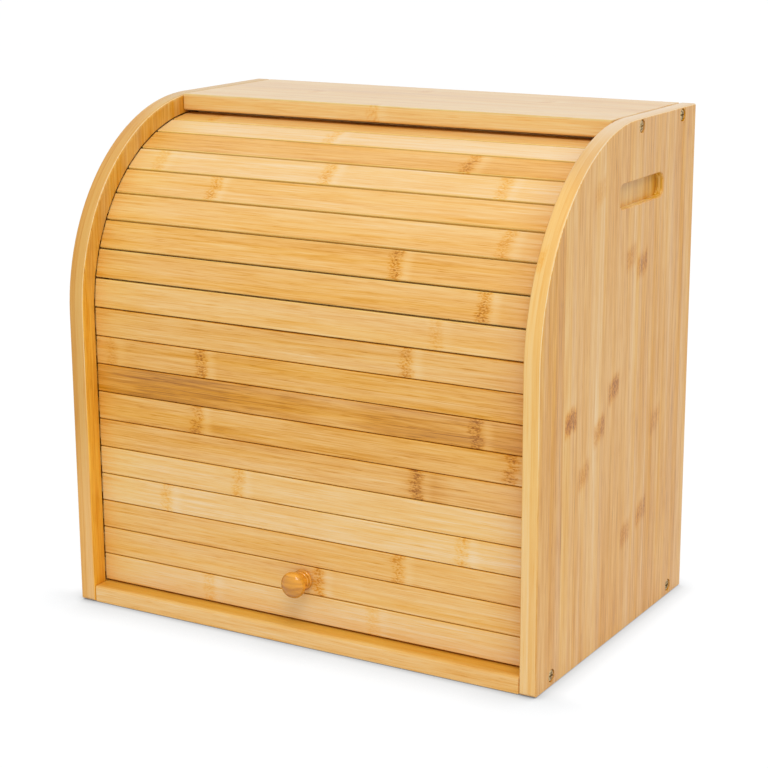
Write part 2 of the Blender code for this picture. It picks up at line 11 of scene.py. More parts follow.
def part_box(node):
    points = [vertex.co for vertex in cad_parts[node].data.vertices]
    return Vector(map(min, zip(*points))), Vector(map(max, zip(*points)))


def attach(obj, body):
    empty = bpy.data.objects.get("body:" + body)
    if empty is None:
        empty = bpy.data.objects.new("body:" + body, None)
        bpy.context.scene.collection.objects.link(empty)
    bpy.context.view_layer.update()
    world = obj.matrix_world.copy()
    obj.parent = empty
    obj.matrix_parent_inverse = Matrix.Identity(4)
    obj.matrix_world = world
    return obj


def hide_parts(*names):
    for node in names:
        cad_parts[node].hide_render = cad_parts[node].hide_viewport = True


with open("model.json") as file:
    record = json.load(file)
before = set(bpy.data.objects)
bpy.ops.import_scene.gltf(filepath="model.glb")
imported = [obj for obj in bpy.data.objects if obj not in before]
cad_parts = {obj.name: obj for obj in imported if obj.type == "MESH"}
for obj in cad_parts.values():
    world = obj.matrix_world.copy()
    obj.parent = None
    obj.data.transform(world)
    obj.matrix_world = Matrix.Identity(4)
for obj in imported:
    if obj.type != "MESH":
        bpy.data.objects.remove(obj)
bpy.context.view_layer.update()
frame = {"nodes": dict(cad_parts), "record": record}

NODES = frame["nodes"]
MM = 0.001

# The photograph's camera, in the frame's metres and in radians
CAMERA_PLACE = (0.72234, -1.2324, 0.5317)
CAMERA_YAW = -0.52916
CAMERA_PITCH = -0.25253
CAMERA_ROLL = -0.00449
CAMERA_LENS = 93.307
CAMERA_SENSOR = 36

# Light: a white surround, and one soft lamp above the camera's side of the front
SURROUND = 0.74
LAMP_AZIMUTH = math.radians(32)
LAMP_ELEVATION = math.radians(52)
LAMP_DISTANCE = 2.5
LAMP_SIZE = 1.2
LAMP_POWER = 21.0
LAMP_AIM = Vector((0, 0, 0.18))

# The floor, with a shade round the foot as (reach, strength behind, strength in front) each
FLOOR_SIZE = 40.0
FLOOR_DROP = 0.3 * MM
FLOOR_BOUNCE = 0.90
FLOOR_SHADE = 0.12
FLOOR_GLOW = 0.92
FLOOR_TINT = (0.93, 1.0, 1.07)
CONTACT_SHADES = ((50 * MM, 0.0, 0.62), (19 * MM, 0.50, 0.0), (7 * MM, 0.16, 0.30))
CONTACT_FRONT = (-105 * MM, -130 * MM)
CONTACT_SAMPLES = 8

# Bamboo colours from a dark fleck to the palest strip, by their place on the ramp
BAMBOO_SHADES = (
    (0.00, (0.36, 0.130, 0.015)),
    (0.27, (0.68, 0.290, 0.030)),
    (0.50, (0.82, 0.440, 0.112)),
    (0.72, (0.87, 0.550, 0.210)),
    (1.00, (0.89, 0.670, 0.400)),
)
RAMP_MIDDLE = 0.5
RAMP_PER_TONE = 0.5
STRIP_WIDTH = 20 * MM
ONE_STRIP = 1.0  # wider than any piece, so that it has no strip lines

# The noises of the grain, each as the features per metre along, across and into the board, and its
# detail. Each strip has a phase of its own, which comes from its number and the piece's seed
FINE_GRAIN = ((26.0, 1200.0, 1200.0), 3.0)
MIDDLE_GRAIN = ((11.0, 400.0, 400.0), 3.0)
BROAD_GRAIN = ((5.0, 70.0, 70.0), 2.0)
FIBRE_GRAIN = ((60.0, 2300.0, 2300.0), 1.0)
DRIFT_GRAIN = ((3.0, 110.0, 110.0), 2.0)
STRIP_SEED_STEP = 1.37
PHASE_RANGE = 40.0
DRIFT_PHASE = 7.0
HAIR_LEVELS = (0.42, 0.28)
SEAM_EDGES = (0.35 * MM, 0.05 * MM)

# What each part of the grain adds to the place on the ramp, to the height and to the roughness
FINE_TONE, MIDDLE_TONE, BROAD_TONE, HAIR_TONE = 0.68, 0.52, 0.36, -0.18
KNOT_TONE, PALE_TONE, SEAM_TONE = -0.42, 0.13, -0.10
FINE_HEIGHT, MIDDLE_HEIGHT, HAIR_HEIGHT, SEAM_HEIGHT = 0.6, 0.4, -0.5, -0.6
BAMBOO_ROUGHNESS, FINE_ROUGHNESS, KNOT_ROUGHNESS = 0.34, 0.16, 0.15
BAMBOO_BUMP = (0.25, 0.15 * MM)
WOOD_SPECULAR = 0.35
VARNISH_ROUGHNESS = 0.28

# A bamboo node, the knot in a strip: its colour's shift where it is darkest, the share of the strip
# that it fills in full, its fade, its dark line, its flecks, the pale patch past it (in reaches),
# and the noises that shift it along the grain, each with the width of its shifts
KNOT_SHIFT = (0.05, -0.06, -0.5)
KNOT_CORE = 0.7
KNOT_FADE = 0.7
KNOT_LINE = (1.3 * MM, 0.2 * MM)
KNOT_LINE_DARK = 0.25
KNOT_FLECK_DARK = 0.58
KNOT_SPECKLE = ((500, 1150, 250), 2.0)
FLECK_LEVELS = (0.45, 0.57)
PALE_PLACE = 1.2
KNOT_JAGS = ((((1, 260, 60), 1.0), 9 * MM), (((1, 1100, 60), 1.0), 6 * MM))

# How the knots look: reach along the grain, smooth and flecked darkness, pale patch, and slant
PLAIN_KNOTS = {"reach": 7 * MM, "soft": 0.12, "fleck": 1.0, "pale": 1.0, "slant": 0.0}
PANEL_KNOTS = {"reach": 11 * MM, "soft": 0.42, "fleck": 0.65, "pale": 0.3, "slant": 0.35}

# Each slat from the bottom: its tone, and its knots as (X in mm, strength)
SLATS = {
    1: (0.56, ((-82, 0.5), (57, 0.4))),
    2: (0.26, ((12, 1.0),)),
    3: (0.16, ((77, 0.8),)),
    4: (0.52, ((-118, 0.6), (127, 0.7))),
    5: (0.44, ((-55, 0.7),)),
    6: (0.0, ((91, 1.0),)),
    7: (-0.06, ((-89, 0.8), (163, 0.9))),
    8: (-0.42, ((137, 0.9),)),
    9: (-0.06, ((-84, 0.9), (-164, 0.4))),
    10: (0.06, ((84, 0.9),)),
    11: (0.16, ((106, 0.4),)),
    12: (0.02, ((139, 1.0),)),
    13: (0.02, ((69, 1.0),)),
    14: (0.20, ((146, 0.7),)),
    15: (0.25, ((-96, 0.8),)),
    16: (0.52, ((-153, 0.5), (-9, 0.8), (129, 0.7))),
    17: (0.02, ((94, 0.9),)),
    18: (0.80, ((-29, 0.7),)),
    19: (0.18, ((-145, 0.5),)),
    # slat 20's low tone is painted shade in the gap under the top board's front edge
    20: (-0.60, ()),
}
SLAT_SEED_STEP = 3.1
SLAT_DRIFT = 0.22

# Darker and paler stretches of single slats, as (X, half length, tone) with the lengths in mm
STRETCHES = {
    6: ((98, 26, -0.45),),
    8: ((-110, 75, -0.26), (30, 45, 0.30)),
}

# The slats' upper and lower sides, which the joints show; their ends, with a painted shadow of the
# right panel's front edge on the right ends and painted warm light reflected from the left panel on
# the left ends; and the painted shade on the slat that goes under the top board. Places are measured
# from the slat's middle
SLAT_SIDE = 9.9 * MM
SLAT_SIDE_TINT = (1.0, 0.93, 0.50)
CURVE_SIDE_TONE = 1.0
SLAT_RIGHT_END = (140 * MM, 180 * MM)
SLAT_RIGHT_SHADOW_TINT = (0.91, 0.87, 0.88)
SLAT_LEFT_END = (-120 * MM, -165 * MM)
SLAT_LEFT_BOUNCE_TINT = (1.0, 0.99, 0.83)
GAP_SLAT = 19
GAP_SHADE = (4.5 * MM, 8.5 * MM)
GAP_TONE = -0.9

# The side panels' outline, and their edge, which shows two layers with a glue line between them.
# A point on the edge is measured across from EDGE_SEAM, where the inner layer's strip ends
CURVE_Y = 22 * MM
CURVE_Z = 220 * MM
CURVE_RADIUS = 148 * MM
EDGE_LIMIT = 0.5 * MM
GLUE_LINE = 184.6 * MM
EDGE_SEAM = 410 * MM
INNER_LAYER_TONE = 0.22
# Round the top of its curve the edge is paler, as a painted sheen of the white surround
TOP_EDGE = (math.radians(60), math.radians(80))
TOP_EDGE_SHEEN_TONE = 0.5
EDGE_CONTRAST = 0.55
EDGE_DRIFT = 0.15
CURVE_LEVELS = (60 * MM, 160 * MM)

# A painted highlight along the lit corner on the right of each panel's edge
ARRIS_WIDTH = 0.9 * MM
ARRIS_LEVELS = (120 * MM, 190 * MM)
ARRIS_HIGHLIGHT_TONE = 0.8

# The side panels' faces towards the door. Their tint low down is painted warm light reflected from
# the slats; higher up, round the curve, a second tint makes them a little darker and warmer
INNER_FACE = 178 * MM
INNER_DEPTH = (30 * MM, 15 * MM)
INNER_FADES = (300 * MM, 210 * MM)
INNER_BOUNCE_TINT = (1.12, 1.06, 0.38)
INNER_CURVE_TINT = (0.95, 0.95, 0.70)

# The finger pockets in the panels' outer faces. The floor's tint lifts it with painted light against
# the pocket's shade, the walls' tint makes them paler both as cut grain and with painted light, and
# the shade under the upper lip is painted
POCKET_MOUTH = 189.3 * MM
POCKET_FLOOR = 184.3 * MM
POCKET_Y = (-7 * MM, 69 * MM)
POCKET_Z = (308 * MM, 327 * MM)
POCKET_LIGHT_TINT = (1.04, 1.10, 0.92)
POCKET_WALL_LIGHT_TINT = (1.05, 1.25, 1.9)
POCKET_SHADE = (317 * MM, 324 * MM)
POCKET_SHADE_TINT = (0.82, 0.79, 0.74)

# What both side panels share, and what each has of its own: its knots as (Z, Y, strength) in mm,
# its edge's tone, the tint of the curve, the X where the painted highlight on the lit corner starts,
# and the angles on the curve between which the painted sheen of the top comes in, with its tint. The
# last of the right panel's knots lies on its edge, so its Z is measured along the edge and its Y
# across it
PANEL_LOOK = {"tone": -0.06, "spread": 0.17, "contrast": 1.1, "drift": 0.43, "coat": 0.35}
PANELS = {
    "side_panel_right": {
        "knots": (
            (274, 16, 0.6), (266, 35, 0.8), (178, -78, 1.5), (186, -9, 1.1), (162, -32, 0.9),
            (146, 66, 0.5), (136, -56, 0.6), (74, 17, 0.6), (83, 44, 0.65), (326, -38, 0.4),
            (293, 400, 0.6),
        ),
        "seed": 11.0,
        "edge_tone": 0.22,
        "curve_tint": (1.0, 0.98, 0.84),
        "arris": 189.3 * MM,
        "top": (math.radians(45), math.radians(62)),
        "top_sheen_tint": (0.88, 0.88, 1.05),
    },
    "side_panel_left": {
        "knots": (
            (120, -98, 0.7), (214, -72, 0.8), (62, -44, 0.8), (268, -14, 0.7), (158, 22, 0.9),
            (48, 52, 0.6), (236, 78, 0.8), (110, 101, 0.7),
        ),
        "seed": 47.0,
        "edge_tone": -0.26,
        "curve_tint": (0.86, 0.81, 0.56),
        "arris": -178.3 * MM,
        "top": (math.radians(70), math.radians(85)),
        "top_sheen_tint": (0.88, 0.90, 1.05),
    },
}

# The other boards: their axes along, across and into the grain, and how their bamboo looks
BOARDS = {
    "top_board": {"axes": "XYZ", "seed": 23.0, "tone": 0.10, "coat": 0.7},
    "bottom_board": {"axes": "XYZ", "seed": 31.0, "tone": 0.20, "drift": 0.15},
    "back_panel": {"axes": "ZXY", "seed": 5.0, "tone": 0.1, "spread": 0.25},
    "shelf": {"axes": "XYZ", "seed": 61.0, "tone": 0.1, "spread": 0.2},
    "shelf_cleat_left": {"axes": "YZX", "seed": 71.0, "strip": ONE_STRIP},
    "shelf_cleat_right": {"axes": "YZX", "seed": 71.0, "strip": ONE_STRIP},
}

# The top board: knots as (X, Y, strength) in mm, its front edge and its upper side
TOP_KNOTS = ((-10, 4, 0.6), (-95, 64, 0.5), (92, 84, 0.5), (-20, 104, 0.4))
TOP_BOARD_FRONT = 9 * MM
TOP_FRONT_TONE = 0.34
TOP_FRONT_TINT = (1.0, 1.0, 0.84)
TOP_BOARD_UPPER = 367 * MM
TOP_UPPER_TINT = (0.88, 0.96, 1.0)

# The sill's upper side in front of the door, with painted shade from the door above it
SILL_UPPER_SIDE = 11 * MM
SILL_DARKENS = (-129.0 * MM, -119.0 * MM)
SILL_PALES = (-90.0 * MM, -112.0 * MM)
SILL_SHADE_TINT = (0.86, 0.76, 0.28)

# The knob's varnished wood
KNOB_SHADES = ((0.17, (0.40, 0.130, 0.012)), (0.83, (0.90, 0.400, 0.032)))
# Painted light: the wood's colour grows paler towards the upper right, the side the lamp lights
KNOB_PAINTED_LIGHT = 0.016 / MM
RING_GRAIN = ((24.0, 160.0, 420.0), 2.0)
RING_PHASE = 3.0
PORE_GRAIN = ((260.0, 2600.0, 2600.0), 1.0)
PORE_PHASE = 9.0
PORE_LEVELS = (0.42, 0.30)
PORE_TONE = -0.08
KNOB_ROUGHNESS = 0.5
KNOB_VARNISH_ROUGHNESS = 0.13

# The screws' dulled brass
BRASS_SHADES = ((0.36, (0.26, 0.17, 0.065)), (0.62, (0.74, 0.55, 0.27)))
GRIME = ((700.0, 700.0, 700.0), 3.0)
GRIME_LEVELS = (0.3, 0.7)
BRASS_ROUGHNESS = (0.5, 0.28)
BRASS_BUMP = (0.2, 0.05 * MM)

# The canvas of the backing cloth
CANVAS_SHADES = ((0.1, (0.56, 0.34, 0.12)), (0.9, (0.84, 0.58, 0.27)))
THREAD_PERIOD = 1.2 * MM
WEAVE_TONE = 0.22
FLUFF = ((900.0, 900.0, 900.0), 2.0)
FLUFF_TONE = 0.6
CANVAS_ROUGHNESS = 0.95
CANVAS_SPECULAR = 0.1
CANVAS_BUMP = (0.6, 0.2 * MM)

# The strips of cloth, one behind each slat
SLAT_THICKNESS = 5 * MM
SLAT_PITCH = 21 * MM
KNOB_SLAT = 2
CLOTH_GAP = 0.3 * MM
CLOTH_THICKNESS = 0.5 * MM
CLOTH_MARGIN = 8 * MM
CLOTH_HOLE = 4.1 * MM
CLOTH_HOLE_CELLS = 2
CLOTH_COLUMNS = 120
CLOTH_ROWS = 8
RIPPLE_HEIGHT = 0.08 * MM
RIPPLE_LENGTH = 9 * MM
RIPPLE_WIDTH = 4 * MM

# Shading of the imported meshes
SMOOTH_ANGLE = math.radians(35)
WELD = 0.01 * MM


# Shader nodes

def fill_inputs(tree, node, inputs):
    """Links or sets a node's inputs, which are given by name or in order."""
    pairs = inputs.items() if isinstance(inputs, dict) else enumerate(inputs)
    for key, value in pairs:
        if isinstance(value, bpy.types.NodeSocket):
            tree.links.new(value, node.inputs[key])
        else:
            node.inputs[key].default_value = value


def add_node(tree, kind, inputs=(), **settings):
    node = tree.nodes.new(kind)
    for name, value in settings.items():
        setattr(node, name, value)
    fill_inputs(tree, node, inputs)
    return node


def calc(tree, operation, *values):
    return add_node(tree, "ShaderNodeMath", values, operation=operation).outputs[0]


def vector_calc(tree, operation, *values):
    return add_node(tree, "ShaderNodeVectorMath", values, operation=operation).outputs[0]


def chained(tree, operation, values):
    result = values[0]
    for value in values[1:]:
        result = calc(tree, operation, result, value)
    return result


def total(tree, *values):
    return chained(tree, "ADD", values)


def product(tree, *values):
    return chained(tree, "MULTIPLY", values)


def swing(tree, value, size):
    """A value of 0 to 1 as one that swings about 0 and is size wide."""
    return product(tree, calc(tree, "SUBTRACT", value, 0.5), size)


def mixed(tree, factor, first, second):
    return calc(tree, "MULTIPLY_ADD", factor, calc(tree, "SUBTRACT", second, first), first)


def closeness(tree, distance, reach):
    """1 at no distance, and 0 from reach on."""
    share = calc(tree, "MINIMUM", calc(tree, "DIVIDE", distance, reach), 1.0)
    return calc(tree, "SUBTRACT", 1.0, share)


def smooth_range(tree, value, start, end, low=0.0, high=1.0):
    """low up to start, high from end on, and a smooth step between them. start may be past end."""
    sockets = any(isinstance(limit, bpy.types.NodeSocket) for limit in (start, end))
    if not sockets and start > end:
        start, end, low, high = end, start, high, low
    return add_node(tree, "ShaderNodeMapRange", (value, start, end, low, high),
                    interpolation_type="SMOOTHSTEP").outputs[0]


def noise(tree, place, grain, phase=0.0):
    """Noise of about 0 to 1. place is the way along, across and into the grain."""
    along, across, depth = place
    scales, detail = grain
    vector = add_node(tree, "ShaderNodeCombineXYZ", (
        total(tree, product(tree, along, scales[0]), phase),
        product(tree, across, scales[1]),
        product(tree, depth, scales[2]),
    )).outputs[0]
    return add_node(tree, "ShaderNodeTexNoise", {"Vector": vector, "Scale": 1.0, "Detail": detail},
                    noise_dimensions="3D").outputs[0]


def colour_ramp(tree, value, shades):
    """The colour at a place on a ramp through shades, each of them (place on the ramp, colour)."""
    ramp = add_node(tree, "ShaderNodeValToRGB", (value,))
    stops = ramp.color_ramp.elements
    while len(stops) < len(shades):
        stops.new(1.0)
    for stop, (position, colour) in zip(stops, shades):
        stop.position = position
        stop.color = (*colour, 1)
    return ramp.outputs[0]


def bump(tree, height, strength, distance):
    return add_node(tree, "ShaderNodeBump", {
        "Strength": strength, "Distance": distance, "Height": height}).outputs[0]


def object_place(tree, turn=0.0, centre=(0, 0, 0)):
    """The point on the piece, in the frame's metres, measured from centre and turned about X."""
    shift = -(Matrix.Rotation(turn, 3, "X") @ Vector(centre))
    vector = add_node(tree, "ShaderNodeTexCoord").outputs["Object"]
    mapping = add_node(tree, "ShaderNodeMapping", (vector, shift, (turn, 0, 0)))
    return add_node(tree, "ShaderNodeSeparateXYZ", (mapping.outputs[0],)).outputs


def new_group(name, inputs, outputs):
    """A shader node group with float inputs. Returns it with its input and output nodes."""
    group = bpy.data.node_groups.new(name, "ShaderNodeTree")
    for label in inputs:
        group.interface.new_socket(label, in_out="INPUT", socket_type="NodeSocketFloat")
    for label, kind in outputs.items():
        group.interface.new_socket(label, in_out="OUTPUT", socket_type=kind)
    return group, group.nodes.new("NodeGroupInput"), group.nodes.new("NodeGroupOutput")


def new_material(name):
    material = bpy.data.materials.new(name)
    material.use_nodes = True
    tree = material.node_tree
    return material, tree, tree.nodes["Principled BSDF"]


# Bamboo

def knot_group():
    """One bamboo node: a jagged dark line across a strip, flecks round it, and a paler patch."""
    inputs = ("Along", "Across", "Jag", "Fleck", "Place along", "Place across", "Half width",
              "Reach", "Soft", "Strength", "Slant")
    outputs = {"Dark": "NodeSocketFloat", "Pale": "NodeSocketFloat"}
    group, given, result = new_group("bamboo_knot", inputs, outputs)
    get = given.outputs
    sideways = calc(group, "SUBTRACT", get["Across"], get["Place across"])
    offset = calc(group, "SUBTRACT", calc(group, "SUBTRACT", get["Along"], get["Place along"]),
                  product(group, sideways, get["Slant"]))
    ragged = calc(group, "ABSOLUTE", total(group, offset, get["Jag"]))
    outside = smooth_range(group, calc(group, "ABSOLUTE", sideways),
                           product(group, get["Half width"], KNOT_CORE), get["Half width"])
    strength = product(group, get["Strength"], calc(group, "SUBTRACT", 1.0, outside))
    soft = smooth_range(group, closeness(group, ragged, get["Reach"]), 0.0, KNOT_FADE)
    line = smooth_range(group, ragged, *KNOT_LINE)
    dark = total(group, product(group, soft, get["Soft"]),
                 product(group, get["Fleck"], soft, KNOT_FLECK_DARK),
                 product(group, get["Fleck"], KNOT_LINE_DARK, line))
    beyond = calc(group, "SUBTRACT", offset, product(group, get["Reach"], PALE_PLACE))
    patch = closeness(group, calc(group, "ABSOLUTE", beyond), get["Reach"])
    fill_inputs(group, result, {
        "Dark": product(group, dark, strength),
        "Pale": product(group, smooth_range(group, patch, 0.0, 1.0), strength),
    })
    return group


def bamboo_group():
    """Glued bamboo strips: fibres along the grain, a tone for each strip, and lines between."""
    inputs = ("Along", "Across", "Depth", "Seed", "Strip", "Tone", "Spread", "Contrast", "Drift",
              "Dark", "Pale")
    outputs = {"Colour": "NodeSocketColor", "Roughness": "NodeSocketFloat",
               "Height": "NodeSocketFloat"}
    group, given, result = new_group("bamboo", inputs, outputs)
    get = given.outputs

    strips = total(group, calc(group, "DIVIDE", get["Across"], get["Strip"]), 0.5)
    strip_seed = total(group, product(group, calc(group, "FLOOR", strips), STRIP_SEED_STEP),
                       get["Seed"])
    chance = add_node(group, "ShaderNodeTexWhiteNoise", {"W": strip_seed},
                      noise_dimensions="1D").outputs["Value"]
    from_middle = calc(group, "ABSOLUTE",
                       calc(group, "SUBTRACT", calc(group, "FRACT", strips), 0.5))
    seam_distance = product(group, calc(group, "SUBTRACT", 0.5, from_middle), get["Strip"])
    seam = smooth_range(group, seam_distance, *SEAM_EDGES)

    phase = product(group, chance, PHASE_RANGE)
    place = (get["Along"], get["Across"], get["Depth"])
    fine = noise(group, place, FINE_GRAIN, phase)
    middle = noise(group, place, MIDDLE_GRAIN, phase)
    broad = noise(group, place, BROAD_GRAIN, phase)
    hairs = smooth_range(group, noise(group, place, FIBRE_GRAIN, phase), *HAIR_LEVELS)
    streaks = total(group, swing(group, fine, FINE_TONE), swing(group, middle, MIDDLE_TONE),
                    swing(group, broad, BROAD_TONE), product(group, hairs, HAIR_TONE))

    shade = colour_ramp(group, total(
        group, RAMP_MIDDLE, product(group, get["Tone"], RAMP_PER_TONE),
        swing(group, chance, get["Spread"]), product(group, streaks, get["Contrast"]),
        product(group, get["Dark"], KNOT_TONE), product(group, get["Pale"], PALE_TONE),
        product(group, seam, SEAM_TONE),
    ), BAMBOO_SHADES)
    drift = noise(group, place, DRIFT_GRAIN, total(group, phase, DRIFT_PHASE))
    saturation = calc(group, "MULTIPLY_ADD", calc(group, "SUBTRACT", drift, 0.5),
                      get["Drift"], 1.0)
    drifted = add_node(group, "ShaderNodeHueSaturation",
                       {"Saturation": saturation, "Color": shade}).outputs[0]
    knot_tint = vector_calc(group, "MULTIPLY_ADD", get["Dark"], KNOT_SHIFT, (1, 1, 1))
    fill_inputs(group, result, {
        "Colour": vector_calc(group, "MULTIPLY", drifted, knot_tint),
        "Roughness": total(group, BAMBOO_ROUGHNESS, product(group, fine, FINE_ROUGHNESS),
                           product(group, get["Dark"], KNOT_ROUGHNESS)),
        "Height": total(group, product(group, fine, FINE_HEIGHT),
                        product(group, middle, MIDDLE_HEIGHT),
                        product(group, hairs, HAIR_HEIGHT), product(group, seam, SEAM_HEIGHT)),
    })
    return group


KNOT = knot_group()
BAMBOO = bamboo_group()

# here is 1 on a side panel's front and top edge, top is 1 where that edge has come round its
# curve, and the others are the way along the edge, across it and into the board from it
Edge = namedtuple("Edge", "here top along across into")


def edge_place(tree, x, y, z):
    """Where a point of a side panel is against the panel's edge."""
    level = calc(tree, "MAXIMUM", calc(tree, "SUBTRACT", CURVE_Y, y), 0.0)
    upright = calc(tree, "MAXIMUM", calc(tree, "SUBTRACT", z, CURVE_Z), 0.0)
    radius = calc(tree, "SQRT", total(tree, product(tree, level, level),
                                      product(tree, upright, upright)))
    angle = calc(tree, "ARCTAN2", upright, level)
    into = calc(tree, "SUBTRACT", CURVE_RADIUS, radius)
    along = total(tree, calc(tree, "MINIMUM", z, CURVE_Z), product(tree, angle, CURVE_RADIUS),
                  calc(tree, "MAXIMUM", calc(tree, "SUBTRACT", y, CURVE_Y), 0.0))
    from_glue = calc(tree, "SUBTRACT", calc(tree, "ABSOLUTE", x), GLUE_LINE)
    return Edge(calc(tree, "LESS_THAN", into, EDGE_LIMIT), smooth_range(tree, angle, *TOP_EDGE),
                along, total(tree, from_glue, EDGE_SEAM), into)


def knot_marks(tree, way, seed, strip, knots, look):
    """How dark and how pale the knots make a point. knots are (along, across, strength) each."""
    if not knots:
        return 0.0, 0.0
    along, across, depth = way
    jag = total(tree, *(swing(tree, noise(tree, (0.0, across, depth), grain, seed), size)
                        for grain, size in KNOT_JAGS))
    fleck = smooth_range(tree, noise(tree, way, KNOT_SPECKLE, seed), *FLECK_LEVELS,
                         0.0, look["fleck"])
    dark, pale = 0.0, 0.0
    for place_along, place_across, strength in knots:
        marks = add_node(tree, "ShaderNodeGroup", (
            along, across, jag, fleck, place_along, place_across, strip / 2,
            look["reach"], look["soft"], strength, look["slant"],
        ), node_tree=KNOT).outputs
        dark = calc(tree, "MAXIMUM", dark, marks["Dark"])
        pale = calc(tree, "MAXIMUM", pale, product(tree, marks["Pale"], look["pale"]))
    return dark, pale


def bamboo(name, axes, seed, tone=0.0, strip=STRIP_WIDTH, spread=0.16, contrast=1.0, drift=0.3,
           coat=0.0, knots=(), knot_look=PLAIN_KNOTS, edge_tone=None, turn=0.0, centre=(0, 0, 0),
           tones=(), tints=()):
    """A bamboo material.

    axes names the piece's directions along the grain, across the strips and into the board. tones
    and tints each pair a function of the place, 0 to 1, with the tone or the tint that it brings.
    With an edge_tone, the grain of a side panel's edge runs round its curve."""
    material, tree, shader = new_material(name)
    place = object_place(tree, turn, centre)
    way = tuple(place[axis] for axis in axes)
    if edge_tone is not None:
        edge = edge_place(tree, *place)
        way = tuple(mixed(tree, edge.here, on_face, on_edge) for on_face, on_edge
                    in zip(way, (edge.along, edge.across, edge.into)))
        inner_layer = calc(tree, "LESS_THAN", edge.across, EDGE_SEAM)
        layers = total(tree, product(tree, inner_layer, INNER_LAYER_TONE),
                       # edge.top brings in the painted sheen at the top of the curve
                       product(tree, edge.top, TOP_EDGE_SHEEN_TONE), edge_tone)
        tone = mixed(tree, edge.here, tone, layers)
        contrast = mixed(tree, edge.here, contrast, EDGE_CONTRAST)
        drift = mixed(tree, edge.here, drift, EDGE_DRIFT)
    for where, extra in tones:
        tone = calc(tree, "MULTIPLY_ADD", where(tree, *place), extra, tone)
    dark, pale = knot_marks(tree, way, seed, strip, knots, knot_look)
    grain = add_node(tree, "ShaderNodeGroup", (
        *way, seed, strip, tone, spread, contrast, drift, dark, pale), node_tree=BAMBOO).outputs
    colour = grain["Colour"]
    for where, tint in tints:
        shift = vector_calc(tree, "SUBTRACT", vector_calc(tree, "MULTIPLY", colour, tint), colour)
        colour = vector_calc(tree, "MULTIPLY_ADD", where(tree, *place), shift, colour)
    fill_inputs(tree, shader, {
        "Base Color": colour,
        "Roughness": grain["Roughness"],
        "Normal": bump(tree, grain["Height"], *BAMBOO_BUMP),
        "Specular IOR Level": WOOD_SPECULAR,
        "Coat Weight": coat,
        "Coat Roughness": VARNISH_ROUGHNESS,
    })
    return material


# The other materials

def varnished_wood(name):
    """The knob's orange-brown turned wood under a glossy varnish, with painted light that makes it
    paler to the upper right.
    """
    material, tree, shader = new_material(name)
    low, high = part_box("knob")
    x, y, z = object_place(tree, centre=(low + high) / 2)
    rings = noise(tree, (x, y, z), RING_GRAIN, RING_PHASE)
    pores = smooth_range(tree, noise(tree, (x, y, z), PORE_GRAIN, PORE_PHASE), *PORE_LEVELS)
    shade = total(tree, rings, product(tree, pores, PORE_TONE),
                  # painted light towards the upper right
                  product(tree, total(tree, x, z), KNOB_PAINTED_LIGHT))
    fill_inputs(tree, shader, {
        "Base Color": colour_ramp(tree, shade, KNOB_SHADES),
        "Roughness": KNOB_ROUGHNESS,
        "Specular IOR Level": 0.0,
        "Coat Weight": 1.0,
        "Coat Roughness": KNOB_VARNISH_ROUGHNESS,
    })
    return material


def dark_brass(name):
    """Brass that has dulled, with grime."""
    material, tree, shader = new_material(name)
    grime = noise(tree, object_place(tree), GRIME)
    fill_inputs(tree, shader, {
        "Base Color": colour_ramp(tree, grime, BRASS_SHADES),
        "Roughness": smooth_range(tree, grime, *GRIME_LEVELS, *BRASS_ROUGHNESS),
        "Normal": bump(tree, grime, *BRASS_BUMP),
        "Metallic": 1.0,
    })
    return material


def canvas(name):
    """Plain-woven canvas: threads over and under each other, in unbleached cotton."""
    material, tree, shader = new_material(name)
    x, y, z = object_place(tree)
    waves = [calc(tree, "SINE", product(tree, value, 2 * math.pi / THREAD_PERIOD))
             for value in (x, total(tree, y, z))]
    weave = product(tree, *waves)
    fluff = noise(tree, (x, y, z), FLUFF)
    height = total(tree, 0.5, product(tree, weave, WEAVE_TONE), swing(tree, fluff, FLUFF_TONE))
    fill_inputs(tree, shader, {
        "Base Color": colour_ramp(tree, height, CANVAS_SHADES),
        "Roughness": CANVAS_ROUGHNESS,
        "Specular IOR Level": CANVAS_SPECULAR,
        "Normal": bump(tree, height, *CANVAS_BUMP),
    })
    return material


# Places on the pieces, each 1 inside and 0 outside

def stretch(middle, half):
    """A stretch of a slat that fades out to both sides."""
    def inside(tree, x, y, z):
        return smooth_range(tree, calc(tree, "ABSOLUTE", calc(tree, "SUBTRACT", x, middle)),
                            half, 0.0)
    return inside


def slat_side(tree, x, y, z):
    return calc(tree, "GREATER_THAN", calc(tree, "ABSOLUTE", z), SLAT_SIDE)


# Painted shadow of the right panel's front edge on the slats' right ends
def shadowed_right_end(tree, x, y, z):
    return smooth_range(tree, x, *SLAT_RIGHT_END)


# Painted warm light, reflected from the left panel's inner face onto the slats' left ends
def bounce_lit_left_end(tree, x, y, z):
    return smooth_range(tree, x, *SLAT_LEFT_END)


# Painted shade on the slat where it goes under the top board
def beside_gap(tree, x, y, z):
    return smooth_range(tree, z, *GAP_SHADE)


def top_front(tree, x, y, z):
    return calc(tree, "LESS_THAN", y, TOP_BOARD_FRONT)


def top_upper(tree, x, y, z):
    return calc(tree, "GREATER_THAN", z, TOP_BOARD_UPPER)


def shaded_beside_door(tree, x, y, z):
    """The sill's upper side, with painted shade that is darker the nearer it is to the door."""
    return product(tree, calc(tree, "GREATER_THAN", z, SILL_UPPER_SIDE),
                   product(tree, smooth_range(tree, y, *SILL_DARKENS),
                           smooth_range(tree, y, *SILL_PALES)))


